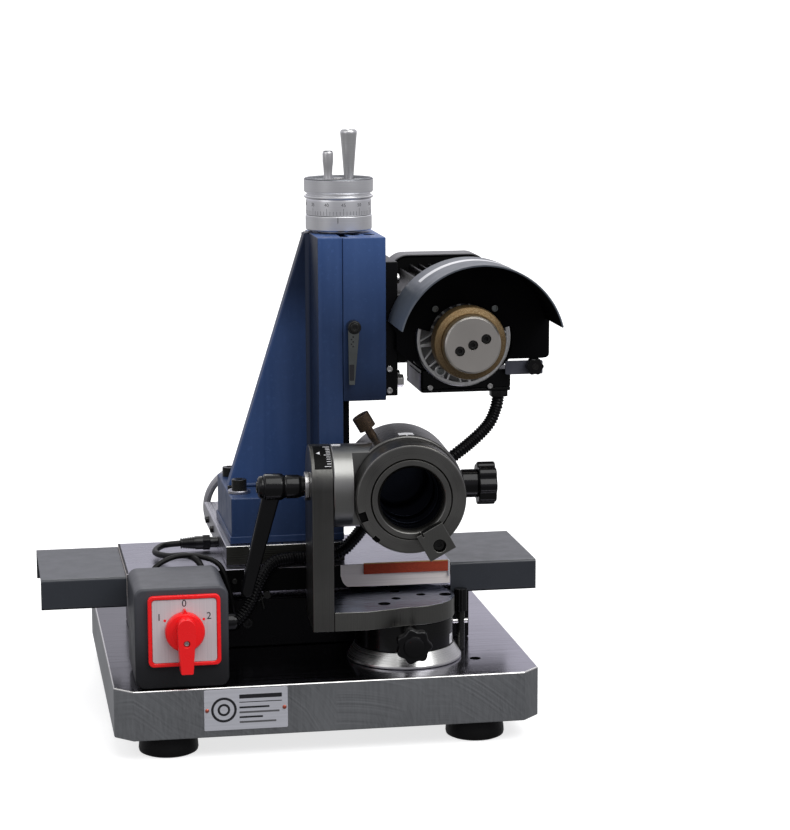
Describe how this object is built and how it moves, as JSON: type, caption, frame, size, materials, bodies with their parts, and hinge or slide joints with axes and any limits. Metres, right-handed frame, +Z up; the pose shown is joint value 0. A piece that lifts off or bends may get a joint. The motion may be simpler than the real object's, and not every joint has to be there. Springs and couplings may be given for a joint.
{
  "type": "gun drill grinding machine",
  "caption": "Bench tool grinder: motor with grinding wheel on a vertical slide and cross slide, swivelling and tilting workhead, cam switch, on a steel base with rubber feet.",
  "frame": {"origin": "bottom centre of the bounding box: on the floor under the machine", "axes": "+Z up, -Y towards the front with the cam switch and the name plate, +X to the right seen from the front"},
  "size_m": [0.4802, 0.423, 0.545],
  "materials": {
    "ground_steel": "ground",
    "dark_paint": "semi-gloss",
    "grey_paint": "semi-gloss",
    "blue_paint": "semi-gloss",
    "black_paint": "semi-gloss",
    "black_oxide": "black oxide",
    "gunmetal": "dark ground",
    "bright_steel": "turned",
    "satin_aluminium": "satin",
    "cast_aluminium": "cast",
    "black_plastic": "matte",
    "red_plastic": "gloss",
    "rubber": "matte",
    "red_felt": "felt",
    "gold_abrasive": "gritty",
    "silver_plate": "satin",
    "grey_cap": "satin"
  },
  "bodies": {
    "base": {"base_plate": "ground_steel", "foot_bl": "rubber", "foot_br": "rubber", "foot_fl": "rubber", "foot_fr": "rubber", "name_plate": "silver_plate", "switch_box": "grey_paint", "switch_frame": "red_plastic", "switch_dial": "silver_plate", "x_bed": "black_paint", "swivel_ring": "bright_steel", "swivel_stop": "bright_steel", "control_cable": "rubber", "supply_cable": "rubber", "motor_conduit": "black_plastic"},
    "switch_knob": {"switch_knob": "red_plastic"},
    "table": {"x_table": "ground_steel", "wiper_strip": "red_felt", "cover_left": "dark_paint", "cover_right": "dark_paint"},
    "carriage": {"y_slide_plate": "ground_steel", "y_screw_bearing": "black_oxide", "column": "blue_paint", "column_bolt": "black_oxide", "z_dovetail": "black_oxide", "z_bearing_ring": "satin_aluminium", "cable_gland": "black_plastic"},
    "y_handwheel": {"y_handwheel": "cast_aluminium"},
    "y_handwheel_grip": {"y_handwheel_grip": "black_plastic"},
    "z_slide": {"z_slide": "blue_paint", "motor_bracket": "black_paint", "motor_body": "black_paint", "motor_rear_cap": "grey_cap", "motor_bell": "cast_aluminium", "terminal_box": "black_paint", "motor_clamp_bolt": "bright_steel", "wheel_guard": "dark_paint"},
    "guard_knob": {"guard_knob": "black_plastic"},
    "z_lock_lever": {"z_lock_lever": "black_oxide"},
    "z_feed": {"z_handwheel": "satin_aluminium", "z_screw": "bright_steel"},
    "z_dial": {"z_dial": "satin_aluminium"},
    "z_crank_grip": {"z_crank_grip": "satin_aluminium"},
    "z_clamp_grip": {"z_clamp_grip": "satin_aluminium"},
    "grinding_spindle": {"wheel_spindle": "bright_steel", "grinding_wheel": "gold_abrasive", "hub_screw_0": "black_oxide", "hub_screw_1": "black_oxide", "hub_screw_2": "black_oxide"},
    "workhead": {"swivel_disc": "gunmetal", "head_plate": "gunmetal", "head_upright": "gunmetal", "lever_washer": "bright_steel"},
    "swivel_knob": {"swivel_knob": "black_plastic"},
    "clamp_lever": {"clamp_lever": "black_plastic"},
    "tilting_barrel": {"head_barrel": "gunmetal", "cap_screw": "black_oxide"},
    "work_spindle": {"work_spindle": "gunmetal", "clamp_block": "gunmetal"},
    "barrel_knob": {"barrel_knob": "black_plastic"}
  },
  "joints": [
    {"name": "x_slide", "type": "slide", "parent": "base", "child": "table", "axis": [1, 0, 0], "range_m": [-0.004, 0.03], "deforming": ["motor_conduit", "control_cable"]},
    {"name": "y_slide", "type": "slide", "parent": "table", "child": "carriage", "axis": [0, 1, 0], "range_m": [0, 0.04], "deforming": ["motor_conduit", "control_cable"]},
    {"name": "y_handwheel", "type": "hinge", "parent": "carriage", "child": "y_handwheel", "pos_m": [-0.0249, 0.1515, 0.1572], "axis": [0, 1, 0], "continuous": true},
    {"name": "y_handwheel_grip", "type": "hinge", "parent": "y_handwheel", "child": "y_handwheel_grip", "pos_m": [0.01009, 0.1715, 0.1774], "axis": [0, 1, 0], "continuous": true},
    {"name": "z_slide", "type": "slide", "parent": "carriage", "child": "z_slide", "axis": [0, 0, 1], "range_m": [-0.04, 0], "deforming": ["motor_conduit"]},
    {"name": "z_feed", "type": "hinge", "parent": "carriage", "child": "z_feed", "pos_m": [0.0476, -0.0105, 0.4862], "axis": [0, 0, 1], "continuous": true},
    {"name": "z_dial", "type": "hinge", "parent": "z_feed", "child": "z_dial", "pos_m": [0.0476, -0.0105, 0.4742], "axis": [0, 0, 1], "continuous": true},
    {"name": "z_crank_grip", "type": "hinge", "parent": "z_feed", "child": "z_crank_grip", "pos_m": [0.0596, 0.0035, 0.5212], "axis": [0, 0, 1], "continuous": true},
    {"name": "z_clamp_grip", "type": "hinge", "parent": "z_feed", "child": "z_clamp_grip", "pos_m": [0.0366, -0.0185, 0.5132], "axis": [0, 0, 1], "continuous": true},
    {"name": "z_lock_lever", "type": "hinge", "parent": "z_slide", "child": "z_lock_lever", "pos_m": [0.0513, -0.0725, 0.3687], "axis": [0, 1, 0], "range_deg": [-60, 60]},
    {"name": "grinding_spindle", "type": "hinge", "parent": "z_slide", "child": "grinding_spindle", "pos_m": [0.1581, -0.0785, 0.3522], "axis": [0, 1, 0], "continuous": true},
    {"name": "guard_knob", "type": "hinge", "parent": "z_slide", "child": "guard_knob", "pos_m": [0.2246, -0.0581, 0.3254], "axis": [0, 1, 0], "range_deg": [0, 720]},
    {"name": "switch_knob", "type": "hinge", "parent": "base", "child": "switch_knob", "pos_m": [-0.1189, -0.1855, 0.1195], "axis": [0, 1, 0], "range_deg": [-60, 60]},
    {"name": "head_swivel", "type": "hinge", "parent": "base", "child": "workhead", "pos_m": [0.0906, -0.1109, 0.0802], "axis": [0, 0, 1], "range_deg": [-0.5, 28]},
    {"name": "swivel_knob", "type": "hinge", "parent": "workhead", "child": "swivel_knob", "pos_m": [0.0863, -0.17837, 0.094], "axis": [0.0489, 0.9988, 0], "range_deg": [0, 720]},
    {"name": "head_tilt", "type": "hinge", "parent": "workhead", "child": "tilting_barrel", "pos_m": [0.00999, -0.13159, 0.2332], "axis": [0.9988, -0.0489, 0], "range_deg": [-5, 5]},
    {"name": "clamp_lever", "type": "hinge", "parent": "workhead", "child": "clamp_lever", "pos_m": [-0.00399, -0.1309, 0.2332], "axis": [0.9988, -0.0489, 0], "range_deg": [-70, 15]},
    {"name": "work_spindle", "type": "hinge", "parent": "tilting_barrel", "child": "work_spindle", "pos_m": [0.08725, -0.13837, 0.2282], "axis": [0.0489, 0.9988, 0], "range_deg": [-90, 90]},
    {"name": "barrel_knob", "type": "hinge", "parent": "tilting_barrel", "child": "barrel_knob", "pos_m": [0.15765, -0.12179, 0.2282], "axis": [0.9988, -0.0489, 0], "range_deg": [0, 720]}
  ],
  "couplings": [
    {"joint": "y_handwheel", "follows": "y_slide", "rad_per_m": 2094.4},
    {"joint": "z_feed", "follows": "z_slide", "rad_per_m": 2094.4}
  ]
}
